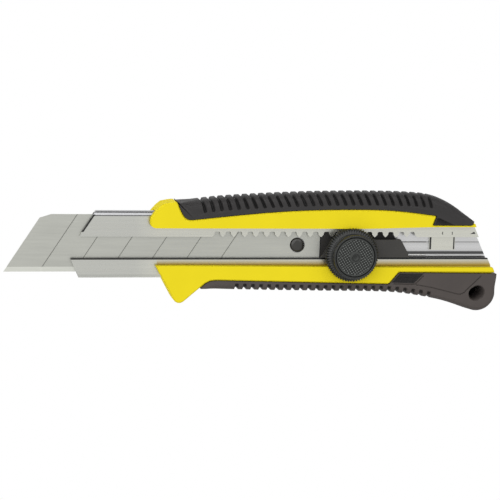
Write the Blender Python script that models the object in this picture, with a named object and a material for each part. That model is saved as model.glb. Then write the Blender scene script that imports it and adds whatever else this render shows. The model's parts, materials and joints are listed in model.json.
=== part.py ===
"""Heavy-duty snap-off utility knife with a dial lock, lying on its back.

+X runs along the knife from the blade's tip to the handle's rear, +Y towards the spine of the blade and
+Z out of the front, where the dial is. The origin is on the handle's flat back, on the blade's centre line.
Sizes are in millimetres and become metres when a mesh is made.
"""

import math

import bmesh
import bpy
from mathutils import Vector

MM = 0.001

# Clearances
GAP = 0.3  # between pieces that rest on or in each other
FINE_GAP = 0.2  # between a pin and its hole

# Blade
BLADE_WIDTH = 25.0
BLADE_THICKNESS = 0.7
BLADE_LENGTH = 138.5
BLADE_ANGLE = math.radians(57.0)  # of the front edge and the score lines, from the cutting edge
BLADE_BEVEL = 2.1  # width of the ground strip along the cutting edge
BLADE_EDGE = 0.1  # thickness left at the cutting edge
SEGMENT_PITCH = 15.1
SCORE_COUNT = 6
SCORE_WIDTH = 0.35
SCORE_DEPTH = 0.2
SPINE_CHAMFER = (5.0, 1.6)  # the clipped corner where the front edge meets the spine
STUD_FROM_REAR = 10.1  # stud hole, from the blade's rear end
STUD_Y = -0.8
STUD_HOLE_RADIUS = 3.4

# Sleeve: a bent sheet channel whose lips leave a window at the front
SHEET = 0.8
SPINE_CLEARANCE = 0.9  # from the blade's spine to the sleeve's wall
EDGE_CLEARANCE = 1.9  # from the cutting edge to the sleeve's wall
SLEEVE_BACK_Z = 4.8
SLEEVE_DEPTH = 4.3
SLEEVE_BEND = 1.7  # outer bend radius
WINDOW_TOP_Y = 3.0
WINDOW_BOTTOM_Y = -6.4
SLEEVE_FRONT_X = -78.8
SLEEVE_REAR_X = 105.4  # of the slanted rear end, on the centre line
REAR_SLANT = -0.475  # X per Y along the rear end
SLEEVE_LAST_X = 110.0  # where the slanted end stops, under the lower grip

# Notches in the upper lip
NOTCH_COUNT = 19
NOTCH_PITCH = 4.885
NOTCH_FIRST_X = -15.0
NOTCH_DEPTH = 2.3
NOTCH_SLOT = 2.3  # width of the straight slot at the notch's end
NOTCH_MOUTH = 4.5  # width at the lip's edge

# Handle
HANDLE_THICKNESS = 12.8
STRIP_BELOW_TOP = 5.6  # the rear strip's upper edge, below the sleeve's top edge
FRAME_COVERS_TOP = 7.0  # how much of the sleeve the frame's front covers at its top edge
FRAME_COVERS_REAR = 6.15  # the same, at the rear
FRAME_COVERS_BOTTOM = 5.9
CORE_BACK_Z = 2.2  # the frame's core under the grips
UPPER_CORE_END_X = 97.5
FRONT_RUBBER = 2.1  # rubber over the core, at the front
GRIP_WALL = 2.4  # rubber over the core, at the rim
RIB_PITCH = 3.62
UPPER_RIBS = 29
LOWER_RIBS = 25
EDGE_ROUNDING = 0.5
GROOVE_WIDTH = 1.5
GROOVE_DEPTH = 1.1

# Lanyard hole through the lower grip's lobe
LANYARD_X = 103.0
LANYARD_BELOW_SLEEVE = 6.6
LANYARD_WALL = 2.0  # rubber between the hole and the frame's core
LANYARD_RADIUS = 2.9
LANYARD_STRETCH = 0.65  # half the distance between the hole's two end arcs
LANYARD_TILT = math.radians(30.0)

# Slider
CARRIER_THICKNESS = 0.8
CARRIER_BEFORE_STUD = 8.0  # how far the carrier reaches past the stud
CARRIER_BEHIND_DIAL = 15.0
SLIDER_BEFORE_DIAL = 12.9
SLIDER_BEHIND_DIAL = 27.3
SLIDER_TOP_Z = 9.9
BOSS_FRONT_X = 81.8
BOSS_REAR_X = 93.7
BOSS_BOTTOM_Y = -3.2
BOSS_TOP_Y = 3.6
BOSS_HEIGHT = 1.0

# Dial lock
DIAL_BEHIND_TOOTH = 5.665
DIAL_FROM_LIP = 2.2  # the dial's axis, above the lower lip's edge
THREAD_PITCH = 0.8  # M5: how far one turn moves the dial and the lock plate
THREAD_RADIUS = 2.5
NECK_RADIUS = 1.2
DIAL_FLANGE_RADIUS = 12.0
DIAL_FACE_RADIUS = 9.7
DIAL_FLANGE_THICKNESS = 1.6
DIAL_HEIGHT = 7.6  # from under the flange to the face
RIDGE_COUNT = 60
RIDGE_HEIGHT = 0.35
HUB_RADIUS = 3.5
TOOTH_NOTCH = 11  # the notch the lock tooth stands over at rest
TOOTH_LIFT = 0.3  # tooth above the lips at rest
BOLT_FLANGE_RADIUS = 3.0
BOLT_FLANGE_THICKNESS = 0.6
BOLT_REACH = 5.6  # thread above the underside of the dial's flange
RING_THICKNESS = 0.4
PLATE_THICKNESS = 0.8
WASHER_THICKNESS = 0.6
BAND_RADIUS = 4.2  # outer radius of the ring, plate and washer between the frame's walls
INSERT_RADIUS = 4.2
INSERT_HEIGHT = 4.4
CAP_RADIUS = 8.3
CAP_THICKNESS = 0.7

# Screws through the sleeve
SCREWS = ((-28.0, 4.0), (52.0, 0.0))
SCREW_RADIUS = 1.2
SCREW_HEAD_RADIUS = 2.6
SCREW_HEAD_TOP_Z = 2.0

YELLOW = ("yellow_plastic", (0.84, 0.70, 0.02), 0.38, 0.0)
BLACK = ("black_rubber", (0.05, 0.047, 0.047), 0.6, 0.0)
GREY = ("grey_rubber", (0.095, 0.08, 0.075), 0.6, 0.0)
STEEL = ("stainless_sheet", (0.56, 0.57, 0.53), 0.28, 1.0)
BLADE_STEEL = ("blade_steel", (0.43, 0.44, 0.40), 0.35, 1.0)
DARK = ("dark_plastic", (0.058, 0.057, 0.052), 0.42, 0.0)
DIAL_PLASTIC = ("dial_plastic", (0.04, 0.042, 0.04), 0.35, 0.0)
BRASS = ("brass", (0.62, 0.47, 0.20), 0.3, 1.0)
ZINC = ("zinc_steel", (0.45, 0.45, 0.46), 0.35, 1.0)

# Places that follow from the sizes above
HALF_BLADE = BLADE_WIDTH / 2
SLEEVE_TOP_Y = HALF_BLADE + SPINE_CLEARANCE + SHEET
SLEEVE_BOTTOM_Y = -HALF_BLADE - EDGE_CLEARANCE - SHEET
TOOTH_X = NOTCH_FIRST_X + TOOTH_NOTCH * NOTCH_PITCH
DIAL_X = TOOTH_X + DIAL_BEHIND_TOOTH
DIAL_Y = WINDOW_BOTTOM_Y + DIAL_FROM_LIP
SLIDER_FRONT_X = DIAL_X - SLIDER_BEFORE_DIAL
SLIDER_REAR_X = DIAL_X + SLIDER_BEHIND_DIAL
BLADE_REAR_X = SLIDER_FRONT_X - GAP
BLADE_TIP_X = BLADE_REAR_X - BLADE_LENGTH
STUD_X = BLADE_REAR_X - STUD_FROM_REAR
CARRIER_FRONT_X = STUD_X - CARRIER_BEFORE_STUD
CARRIER_REAR_X = DIAL_X + CARRIER_BEHIND_DIAL
CORE_FRONT_Z = HANDLE_THICKNESS - FRONT_RUBBER
LANYARD_Y = SLEEVE_BOTTOM_Y - LANYARD_BELOW_SLEEVE
BACK_WALL_Z = SLEEVE_BACK_Z + SHEET
LIP_Z = SLEEVE_BACK_Z + SLEEVE_DEPTH
LIP_UNDER_Z = LIP_Z - SHEET
CARRIER_Z = BACK_WALL_Z + GAP
CARRIER_TOP_Z = CARRIER_Z + CARRIER_THICKNESS
BLADE_Z = CARRIER_TOP_Z + GAP
BLADE_TOP_Z = BLADE_Z + BLADE_THICKNESS
FLANGE_Z = HANDLE_THICKNESS + THREAD_PITCH + GAP
CHANNEL_BACK_Z = SLEEVE_BACK_Z - GAP
CHANNEL_FRONT_Z = LIP_Z + GAP
WASHER_Z = FLANGE_Z - GAP - WASHER_THICKNESS
PLATE_Z = WASHER_Z - GAP - PLATE_THICKNESS
RING_Z = PLATE_Z - FINE_GAP - RING_THICKNESS
HUB_Z = RING_Z - GAP
DIAL_AXIS = (DIAL_X, DIAL_Y)
DIAL_ANCHOR = (DIAL_X, DIAL_Y, FLANGE_Z)


# ---- Outlines, as lists of (x, y) in millimetres ----

def arc(centre, radius, start, end, steps):
    """Points along a circle from one angle to another, both in degrees."""
    angles = [math.radians(start + (end - start) * step / steps) for step in range(steps + 1)]
    return [(centre[0] + radius * math.cos(a), centre[1] + radius * math.sin(a)) for a in angles]


def circle(centre, radius, steps=24):
    return arc(centre, radius, 0, 360, steps)[:-1]


def box_outline(low_x, low_y, high_x, high_y):
    return [(low_x, low_y), (high_x, low_y), (high_x, high_y), (low_x, high_y)]


def smooth(points, steps):
    """A Catmull-Rom curve through the points, with this many steps between each two."""
    ends = [points[0], *points, points[-1]]
    curve = []
    for a, b, c, d in zip(ends, ends[1:], ends[2:], ends[3:]):
        for step in range(steps):
            t = step / steps
            curve.append(tuple(
                0.5 * (2 * q + (r - p) * t + (2 * p - 5 * q + 4 * r - s) * t * t
                       + (3 * q - p - 3 * r + s) * t ** 3)
                for p, q, r, s in zip(a, b, c, d)
            ))
    return [*curve, points[-1]]


def offset(points, distance, closed=False):
    """The polyline moved to its left by the distance, with mitred corners."""
    moved = []
    last = len(points) - 1
    for index, point in enumerate(points):
        before = points[index - 1] if index or closed else None
        after = points[(index + 1) % len(points)] if index < last or closed else None
        sides = []
        for a, b in ((before, point), (point, after)):
            if a is not None and b is not None:
                length = math.dist(a, b)
                sides.append(Vector(((a[1] - b[1]) / length, (b[0] - a[0]) / length)))
        mean = sum(sides, Vector((0, 0))).normalized()
        move = mean * distance / max(mean.dot(sides[0]), 0.4)
        moved.append((point[0] + move.x, point[1] + move.y))
    return moved


def height_at(line, x):
    """The Y of a left-to-right polyline at this X."""
    for (x0, y0), (x1, y1) in zip(line, line[1:]):
        if x0 <= x <= x1:
            return y0 + (y1 - y0) * (x - x0) / (x1 - x0)
    return line[0][1] if x < line[0][0] else line[-1][1]


# ---- Making solids ----

def material(look):
    name, colour, roughness, metallic = look
    made = bpy.data.materials.get(name)
    if made:
        return made
    made = bpy.data.materials.new(name)
    made.use_nodes = True
    shader = made.node_tree.nodes["Principled BSDF"]
    shader.inputs["Base Color"].default_value = (*colour, 1)
    shader.inputs["Roughness"].default_value = roughness
    shader.inputs["Metallic"].default_value = metallic
    return made


def make_object(name, rings, look, anchor=(0, 0, 0), closed_tube=False):
    """A solid from equal rings of (x, y, z) points, capped at both ends unless the rings close."""
    mesh = bpy.data.meshes.new(name)
    build = bmesh.new()
    levels = [[build.verts.new([(p - a) * MM for p, a in zip(point, anchor)]) for point in ring]
              for ring in rings]
    pairs = list(zip(levels, levels[1:]))
    if closed_tube:
        pairs.append((levels[-1], levels[0]))
    for low, high in pairs:
        for i in range(len(low)):
            j = (i + 1) % len(low)
            build.faces.new((low[i], low[j], high[j], high[i]))
    if not closed_tube:
        build.faces.new(levels[0][::-1])
        build.faces.new(levels[-1])
    bmesh.ops.recalc_face_normals(build, faces=build.faces)
    if build.calc_volume(signed=True) < 0:
        bmesh.ops.reverse_faces(build, faces=build.faces)
    build.to_mesh(mesh)
    build.free()
    mesh.shade_smooth()
    mesh.set_sharp_from_angle(angle=math.radians(30))
    made = bpy.data.objects.new(name, mesh)
    made.location = [value * MM for value in anchor]
    made.data.materials.append(material(look))
    bpy.context.scene.collection.objects.link(made)
    return made


def prism(name, outline, low_z, high_z, look=ZINC, anchor=(0, 0, 0)):
    return make_object(name, [[(x, y, z) for x, y in outline] for z in (low_z, high_z)], look, anchor)


def turned(name, centre, profile, look, steps=32, anchor=(0, 0, 0), bored=False):
    """A solid turned about a Z axis from (radius, z) points. A bored profile is a closed loop."""
    rings = [[(x, y, z) for x, y in circle(centre, radius, steps)] for radius, z in profile]
    return make_object(name, rings, look, anchor, closed_tube=bored)


def washer(name, centre, inner, outer, low_z, high_z, look, anchor=(0, 0, 0)):
    loop = [(inner, low_z), (outer, low_z), (outer, high_z), (inner, high_z)]
    return turned(name, centre, loop, look, anchor=anchor, bored=True)


def combine(made, other, operation="DIFFERENCE"):
    """Cuts the other solid from this one, or joins it, and hides the other."""
    other.hide_render = True
    other.display_type = "WIRE"
    step = made.modifiers.new(other.name, "BOOLEAN")
    step.operation = operation
    step.solver = "EXACT"
    step.object = other


def soften(made, width, segments=1, angle=35):
    """Rounds the object's sharp edges."""
    step = made.modifiers.new("rounding", "BEVEL")
    step.width = width * MM
    step.segments = segments
    step.limit_method = "ANGLE"
    step.angle_limit = math.radians(angle)


# ---- The handle's lines, front view. Y is written from the sleeve's nearer edge ----

def above(points):
    return [(x, SLEEVE_TOP_Y + y) for x, y in points]


def below(points):
    return [(x, SLEEVE_BOTTOM_Y - y) for x, y in points]


def top_line():
    """The upper silhouette, from the grip's front to its rear point."""
    return above(smooth([(-33.0, 3.8), (-24, 5.1), (-10, 6.6), (20, 8.3), (48, 8.9), (70, 8.6), (82, 7.2),
                         (91, 3.2), (100.4, -3.7)], 3))


def upper_boundary():
    """Where the yellow face meets the upper grip, left to right."""
    front = smooth([(-33.4, 4.4), (-31.6, 0), (-29.4, -3.0), (-26.6, -3.5)], 3)
    middle = smooth([(-26.6, -3.5), (5, -0.3), (30, 1.1), (60, 1.1), (82.8, -1.3)], 3)
    return above(front[:-1] + middle + [(81.2, -STRIP_BELOW_TOP), (99.6, -STRIP_BELOW_TOP)])


def bottom_line():
    """The lower silhouette, from the grip's front round the rear lobe to its upper rear corner."""
    ribs = smooth([(-22.3, 4.2), (0, 4.9), (30, 5.5), (56, 5.9), (70, 6.9), (86, 9.7), (98, 13.5)], 3)
    lobe = arc((103.6, 6.4), 8.4, 112, 8, 7)
    return below(ribs + lobe[1:] + [(111.9, -2.0)])


def lower_boundary():
    """Where the yellow face meets the lower grip, left to right."""
    return below([(-22.6, 3.7), (-20.4, 1.8), (-18.2, 0.7), (-15.8, 0.4), (20, 1.3), (62.2, 2.3),
                  (66.6, -3.0), (111.9, -2.4)])


def frame_outline():
    """The yellow face's outline, anticlockwise from the lower nose."""
    guard = below([(-42.2, -5.8), (-34.0, 9.2)] + arc((-31.6, 7.7), 2.8, 150, 55, 4)[1:])
    nose = above([(-36.5, 4.1), (-39.3, 3.5), (-41.3, 1.9), (-43.4, -0.5), (-44.8, -2.7), (-45.0, -4.2)])
    rear = below([(111.2, -2.7)]) + above([(100.8, -4.3)])
    return guard + lower_boundary()[:-1] + rear + upper_boundary()[::-1] + nose


def upper_core():
    line = [point for point in offset(top_line(), -GRIP_WALL) if point[0] < UPPER_CORE_END_X]
    bottom = 0.5 - STRIP_BELOW_TOP
    return above([(-38, bottom), (UPPER_CORE_END_X, bottom)]) + line[::-1]


def lower_core():
    """Under the ribs, then above the lanyard hole to the sleeve's rear end."""
    line = [(x, y) for x, y in offset(bottom_line(), GRIP_WALL) if x < 95 and y < SLEEVE_BOTTOM_Y]
    shelf_y = LANYARD_Y + LANYARD_RADIUS + LANYARD_WALL
    rear_x = SLEEVE_LAST_X + GAP
    return line + [(95.5, shelf_y), (rear_x, shelf_y), (rear_x, SLEEVE_BOTTOM_Y + 3.5),
                   (line[0][0], SLEEVE_BOTTOM_Y + 3.5)]


# ---- Handle ----

def ribbed(line, first_x, count):
    """The silhouette with a station at each rib and groove: (point, how deep the groove is, from 0 to 1)."""
    half = GROOVE_WIDTH / 2
    stations = []
    for rib in range(count):
        centre = first_x + rib * RIB_PITCH
        for shift, depth in ((-half, 0), (-half / 2, 1), (half / 2, 1), (half, 0)):
            stations.append(((centre + shift, height_at(line, centre + shift)), depth))
    low, high = first_x - 1.5 * half, stations[-1][0][0] + half
    before = [(point, 0) for point in line if point[0] < low]
    after = [(point, 0) for point in line if point[0] > high]
    return before + stations + after


def grip(name, outer, inner, radius, look):
    """A rubber shell: rounded and grooved along its outer stations, square along the inner boundary."""
    stations = outer + [(point, 0) for point in inner]
    points = [point for point, _ in stations]
    unit = offset(points, 1.0, closed=True)
    fade = 6.0  # the rounding dies away this far from the outer line's ends
    middle = HANDLE_THICKNESS / 2
    levels = []
    for turn, ring_inset, ring_depth in ((90, 0.7, 0), (90, 0, 1), (45, 0, 1), (0, 0, 1)):
        angle = math.radians(turn)
        levels.append((radius * (1 - math.cos(angle)) + ring_inset, ring_depth * math.cos(angle),
                       radius * (1 - math.sin(angle)), ring_depth * math.sin(angle)))
    ends = (outer[0][0], outer[-1][0])

    def ring(level, side):
        inset, cut_in, drop, cut_down = level
        made = []
        for index, ((point, depth), to_left) in enumerate(zip(stations, unit)):
            near = min(math.dist(point, end) for end in ends) / fade
            weight = min(1, near) if index < len(outer) else 0
            move = weight * (inset + depth * GROOVE_DEPTH * cut_in)
            z = middle - weight * (drop + depth * GROOVE_DEPTH * cut_down)
            made.append((point[0] + (to_left[0] - point[0]) * move, point[1] + (to_left[1] - point[1]) * move,
                         middle + side * z))
        return made

    rings = [ring(level, -1) for level in levels] + [ring(level, 1) for level in levels[::-1]]
    return make_object(name, rings, look)


def core_hollow(made, outline):
    """Opens the grip over the frame's core."""
    combine(made, prism(made.name + "_hollow", offset(outline, -GAP, closed=True),
                        CORE_BACK_Z - GAP, CORE_FRONT_Z + GAP))


def upper_grip():
    inner = offset(upper_boundary(), GAP)
    outer = ribbed(top_line(), -22.4, UPPER_RIBS)[::-1]
    made = grip("upper_grip", outer, inner, 4.0, BLACK)
    core_hollow(made, upper_core())


def lanyard_outline(radius):
    along = (LANYARD_STRETCH * math.cos(LANYARD_TILT), LANYARD_STRETCH * math.sin(LANYARD_TILT))
    turn = math.degrees(LANYARD_TILT)
    right = arc((LANYARD_X + along[0], LANYARD_Y + along[1]), radius, turn - 90, turn + 90, 8)
    left = arc((LANYARD_X - along[0], LANYARD_Y - along[1]), radius, turn + 90, turn + 270, 8)
    return right + left


def lower_grip():
    inner = offset(lower_boundary(), -GAP)[::-1]
    made = grip("lower_grip", ribbed(bottom_line(), -6.4, LOWER_RIBS), inner, 2.2, GREY)
    core_hollow(made, lower_core())
    combine(made, prism("lanyard_hole", lanyard_outline(LANYARD_RADIUS), -1, HANDLE_THICKNESS + 1))


def handle_frame():
    made = prism("handle_frame", frame_outline(), 0, HANDLE_THICKNESS, YELLOW)
    soften(made, EDGE_ROUNDING)
    combine(made, prism("upper_core", upper_core(), CORE_BACK_Z, CORE_FRONT_Z), "UNION")
    combine(made, prism("lower_core", lower_core(), CORE_BACK_Z, CORE_FRONT_Z), "UNION")
    channel = box_outline(-60, SLEEVE_BOTTOM_Y - GAP, 130, SLEEVE_TOP_Y + GAP)
    combine(made, prism("sleeve_channel", channel, CHANNEL_BACK_Z, CHANNEL_FRONT_Z))
    lower = below([(-60, -FRAME_COVERS_BOTTOM), (-30, -FRAME_COVERS_BOTTOM), (65, -5.1), (130, -4.8)])
    corner = arc((-42.4, 2.8 - FRAME_COVERS_TOP), 2.8, 270, 180, 4)
    upper = above([(130, -FRAME_COVERS_REAR), (84, -FRAME_COVERS_REAR), (52, -FRAME_COVERS_TOP)]
                  + corner + [(-60, 2.8 - FRAME_COVERS_TOP)])
    window = lower + upper
    combine(made, prism("frame_window", window, CHANNEL_FRONT_Z - 1, HANDLE_THICKNESS + 1))
    for x, y in SCREWS:
        hole = [(SCREW_HEAD_RADIUS + GAP, -1), (SCREW_HEAD_RADIUS + GAP, SCREW_HEAD_TOP_Z + GAP),
                (SCREW_RADIUS + GAP, SCREW_HEAD_TOP_Z + GAP), (SCREW_RADIUS + GAP, CHANNEL_BACK_Z + 0.5)]
        combine(made, turned("screw_hole", (x, y), hole, ZINC, steps=16))


# ---- Sleeve ----

def sleeve_section():
    """The channel's cross-section, as (y, z)."""
    inner_bend = SLEEVE_BEND - SHEET
    high, low = SLEEVE_TOP_Y - SLEEVE_BEND, SLEEVE_BOTTOM_Y + SLEEVE_BEND
    front, back = LIP_Z - SLEEVE_BEND, SLEEVE_BACK_Z + SLEEVE_BEND
    corners = ((high, front, 90, 0), (high, back, 0, -90), (low, back, -90, -180), (low, front, 180, 90))
    outer, inner = [(WINDOW_TOP_Y, LIP_Z)], [(WINDOW_TOP_Y, LIP_UNDER_Z)]
    for y, z, start, end in corners:
        outer += arc((y, z), SLEEVE_BEND, start, end, 3)
        inner += arc((y, z), inner_bend, start, end, 3)
    outer.append((WINDOW_BOTTOM_Y, LIP_Z))
    inner.append((WINDOW_BOTTOM_Y, LIP_UNDER_Z))
    return outer + inner[::-1]


def notch_outline(x):
    end = WINDOW_TOP_Y + NOTCH_DEPTH
    slot, mouth = NOTCH_SLOT / 2, NOTCH_MOUTH / 2
    right = [(x + mouth, WINDOW_TOP_Y - 0.5), (x + mouth, WINDOW_TOP_Y), (x + slot + 0.15, end - 1.3),
             (x + slot, end - 0.4), (x + slot - 0.4, end)]
    return right + [(2 * x - px, py) for px, py in right[::-1]]


def prisms(name, outlines, low_z, high_z):
    """One cutter of several separate prisms."""
    parts = [prism(f"{name}_{index}", outline, low_z, high_z) for index, outline in enumerate(outlines)]
    joined = bmesh.new()
    for part in parts:
        joined.from_mesh(part.data)
        bpy.data.objects.remove(part)
    mesh = bpy.data.meshes.new(name)
    joined.to_mesh(mesh)
    joined.free()
    made = bpy.data.objects.new(name, mesh)
    bpy.context.scene.collection.objects.link(made)
    return made


def blade_sleeve():
    rings = [[(x, y, z) for y, z in sleeve_section()] for x in (-90, 120)]
    made = make_object("blade_sleeve", rings, STEEL)
    high, low = SLEEVE_TOP_Y + 1.8, SLEEVE_BOTTOM_Y - 1.5
    front = [(-66.9, high), (-74.4, WINDOW_TOP_Y + 1.6), (SLEEVE_FRONT_X, WINDOW_BOTTOM_Y - 0.4),
             (-74.4, low)]
    combine(made, prism("sleeve_front_cut", [*front, (-95, low), (-95, high)], 0, CHANNEL_FRONT_Z))
    corner = (SLEEVE_LAST_X, (SLEEVE_LAST_X - SLEEVE_REAR_X) / REAR_SLANT)
    rear = [corner, (SLEEVE_LAST_X, low), (125, low), (125, high), (SLEEVE_REAR_X + REAR_SLANT * high, high)]
    combine(made, prism("sleeve_rear_cut", rear, 0, CHANNEL_FRONT_Z))
    sloped = [point for point in offset(top_line(), -GRIP_WALL - GAP) if 80 < point[0] < UPPER_CORE_END_X]
    strip_y = SLEEVE_TOP_Y - STRIP_BELOW_TOP + GAP
    hidden = sloped + [(UPPER_CORE_END_X - GAP, strip_y), (130, strip_y), (130, high + 9),
                       (sloped[0][0], high + 9)]
    combine(made, prism("sleeve_corner_cut", hidden, 0, CHANNEL_FRONT_Z))
    notches = [notch_outline(NOTCH_FIRST_X + step * NOTCH_PITCH) for step in range(NOTCH_COUNT)]
    combine(made, prisms("sleeve_notches", notches, LIP_UNDER_Z - 0.5, LIP_Z + 0.5))
    boss = box_outline(BOSS_FRONT_X, BOSS_BOTTOM_Y, BOSS_REAR_X, BOSS_TOP_Y)
    combine(made, prism("boss", boss, SLEEVE_BACK_Z + SHEET / 2, BACK_WALL_Z + BOSS_HEIGHT), "UNION")
    combine(made, prism("boss_hollow", offset(boss, SHEET, closed=True), 0,
                        BACK_WALL_Z + BOSS_HEIGHT - SHEET))
    for x, y in SCREWS:
        hole = circle((x, y), SCREW_RADIUS + GAP, 16)
        combine(made, prism("sleeve_screw_hole", hole, 0, BACK_WALL_Z + 0.2))


def sleeve_screws():
    for (x, y), place in zip(SCREWS, ("front", "rear")):
        profile = [(SCREW_HEAD_RADIUS, 0.4), (SCREW_HEAD_RADIUS, 1.2), (SCREW_RADIUS, SCREW_HEAD_TOP_Z),
                   (SCREW_RADIUS, BACK_WALL_Z - 0.2)]
        turned(f"sleeve_screw_{place}", (x, y), profile, ZINC, steps=16)


# ---- Blade and slider ----

def blade():
    """A flat strip with a slanted front edge, ground to a wedge along its lower edge."""
    slant = 1 / math.tan(BLADE_ANGLE)
    clip_x, clip_y = SPINE_CHAMFER
    clip_start = (BLADE_TIP_X + (BLADE_WIDTH - clip_y) * slant, HALF_BLADE - clip_y)
    outline = [(BLADE_TIP_X, -HALF_BLADE), (BLADE_REAR_X, -HALF_BLADE), (BLADE_REAR_X, HALF_BLADE),
               (clip_start[0] + clip_x, HALF_BLADE), clip_start]
    made = prism("blade", outline, BLADE_Z, BLADE_TOP_Z, BLADE_STEEL)
    grind = (BLADE_THICKNESS - BLADE_EDGE) / 2
    for side, face in ((-1, BLADE_Z), (1, BLADE_TOP_Z)):
        wedge = [(BLADE_BEVEL - HALF_BLADE, face), (-HALF_BLADE, face - side * grind),
                 (-HALF_BLADE - 1, face - side * grind), (-HALF_BLADE - 1, face + side), (0, face + side)]
        rings = [[(x, y, z) for y, z in wedge] for x in (BLADE_TIP_X - 5, BLADE_REAR_X + 5)]
        combine(made, make_object("blade_grind", rings, ZINC))
    slits = []
    for step in range(SCORE_COUNT):
        foot = BLADE_TIP_X + (step + 1) * SEGMENT_PITCH - slant
        head = foot + (BLADE_WIDTH + 2) * slant
        slits.append([(foot, -HALF_BLADE - 1), (foot + SCORE_WIDTH, -HALF_BLADE - 1),
                      (head + SCORE_WIDTH, HALF_BLADE + 1), (head, HALF_BLADE + 1)])
    combine(made, prisms("blade_scores", slits, BLADE_TOP_Z - SCORE_DEPTH, BLADE_TOP_Z + 1))
    stud_hole = circle((STUD_X, STUD_Y), STUD_HOLE_RADIUS)
    combine(made, prism("stud_hole", stud_hole, BLADE_Z - 1, BLADE_TOP_Z + 1))


def carrier_plate():
    """The steel plate under the blade, forked at the rear so that it passes the sleeve's stop boss."""
    half = HALF_BLADE - 1
    retract = (NOTCH_COUNT - 1 - TOOTH_NOTCH) * NOTCH_PITCH
    fork_x = BOSS_FRONT_X - retract - GAP
    outline = [(CARRIER_FRONT_X, -half), (CARRIER_REAR_X, -half), (CARRIER_REAR_X, BOSS_BOTTOM_Y - GAP),
               (fork_x, BOSS_BOTTOM_Y - GAP), (fork_x, BOSS_TOP_Y + GAP), (CARRIER_REAR_X, BOSS_TOP_Y + GAP),
               (CARRIER_REAR_X, half), (CARRIER_FRONT_X, half)]
    made = prism("carrier_plate", outline, CARRIER_Z, CARRIER_TOP_Z, ZINC)
    holes = [circle((DIAL_X, DIAL_Y), NECK_RADIUS + FINE_GAP, 16),
             circle((STUD_X, STUD_Y), 1.5 + FINE_GAP, 16)]
    combine(made, prisms("carrier_holes", holes, CARRIER_Z - 1, CARRIER_TOP_Z + 1))


def blade_stud():
    """A rivet in the carrier whose dome fills the blade's hole."""
    head = STUD_HOLE_RADIUS - GAP
    low = CARRIER_TOP_Z + GAP / 2
    profile = [(1.5, CARRIER_Z), (1.5, low), (head, low), (head, BLADE_TOP_Z + 0.1),
               (head * 0.85, BLADE_TOP_Z + 0.5), (head * 0.45, BLADE_TOP_Z + 0.8)]
    turned("blade_stud", (STUD_X, STUD_Y), profile, DARK, steps=24)


def slider_block():
    """A flange under the lips with a block that rises between them."""
    flange_half = HALF_BLADE - 0.5
    bottom, top = WINDOW_BOTTOM_Y + GAP, WINDOW_TOP_Y - 1.1
    flange = [(SLIDER_FRONT_X, -flange_half), (SLIDER_REAR_X, -flange_half), (SLIDER_REAR_X, bottom),
              (SLIDER_REAR_X - 13.0, flange_half), (SLIDER_FRONT_X, flange_half)]
    raised = [(SLIDER_FRONT_X, bottom), (SLIDER_REAR_X, bottom), (SLIDER_REAR_X - 0.6, bottom + 2.2),
              (SLIDER_REAR_X - 4.0, top), (SLIDER_FRONT_X + 4.5, top)]
    low = CARRIER_TOP_Z + GAP
    made = prism("slider_block", flange, low, LIP_UNDER_Z - GAP, DARK)
    combine(made, prism("slider_raised", raised, low + 0.2, SLIDER_TOP_Z), "UNION")
    combine(made, turned("slider_bore", (DIAL_X, DIAL_Y), [
        (BOLT_FLANGE_RADIUS + GAP, low - 1), (BOLT_FLANGE_RADIUS + GAP, low + BOLT_FLANGE_THICKNESS + GAP),
        (NECK_RADIUS + FINE_GAP, low + BOLT_FLANGE_THICKNESS + GAP),
        (NECK_RADIUS + FINE_GAP, SLIDER_TOP_Z + 1),
    ], ZINC, steps=24))


# ---- Dial lock ----

def lock_bolt():
    low = CARRIER_TOP_Z + GAP
    flange_top = low + BOLT_FLANGE_THICKNESS
    profile = [(NECK_RADIUS, CARRIER_Z), (NECK_RADIUS, low), (BOLT_FLANGE_RADIUS, low),
               (BOLT_FLANGE_RADIUS, flange_top), (NECK_RADIUS, flange_top),
               (NECK_RADIUS, SLIDER_TOP_Z + GAP), (THREAD_RADIUS, SLIDER_TOP_Z + GAP),
               (THREAD_RADIUS, FLANGE_Z + BOLT_REACH - 0.4), (THREAD_RADIUS - 0.4, FLANGE_Z + BOLT_REACH)]
    turned("lock_bolt", DIAL_AXIS, profile, ZINC, steps=24)


def lock_plate():
    """A plate round the dial's hub, with an arm and a tooth bent down over a notch."""
    tooth_top = WINDOW_TOP_Y + NOTCH_DEPTH - GAP
    half = NOTCH_SLOT / 2 - 1.15 * GAP
    arm = [(TOOTH_X + half + 0.6, tooth_top), (TOOTH_X - half - 0.6, tooth_top)]
    outline = arc(DIAL_AXIS, BAND_RADIUS, 215, 420, 14) + arm
    made = prism("lock_plate", outline, PLATE_Z, PLATE_Z + PLATE_THICKNESS, ZINC)
    tooth = [(TOOTH_X - half, WINDOW_TOP_Y + 0.9), (TOOTH_X + half, WINDOW_TOP_Y + 0.9),
             (TOOTH_X + half - 0.3, tooth_top), (TOOTH_X - half + 0.3, tooth_top)]
    combine(made, prism("lock_tooth", tooth, LIP_Z + TOOTH_LIFT, PLATE_Z + PLATE_THICKNESS / 2), "UNION")
    combine(made, prism("plate_hole", circle(DIAL_AXIS, HUB_RADIUS + FINE_GAP), PLATE_Z - 1,
                        PLATE_Z + PLATE_THICKNESS + 1))


def thrust_washer():
    washer("thrust_washer", DIAL_AXIS, HUB_RADIUS + FINE_GAP, BAND_RADIUS + 0.3, WASHER_Z,
           WASHER_Z + WASHER_THICKNESS, BRASS)


def retaining_ring():
    """A split ring in the hub's groove, under the lock plate."""
    outline = arc(DIAL_AXIS, BAND_RADIUS, 70, 380, 20) + arc(DIAL_AXIS, HUB_RADIUS - 0.2, 380, 70, 20)
    prism("retaining_ring", outline, RING_Z, RING_Z + RING_THICKNESS, ZINC)


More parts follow.
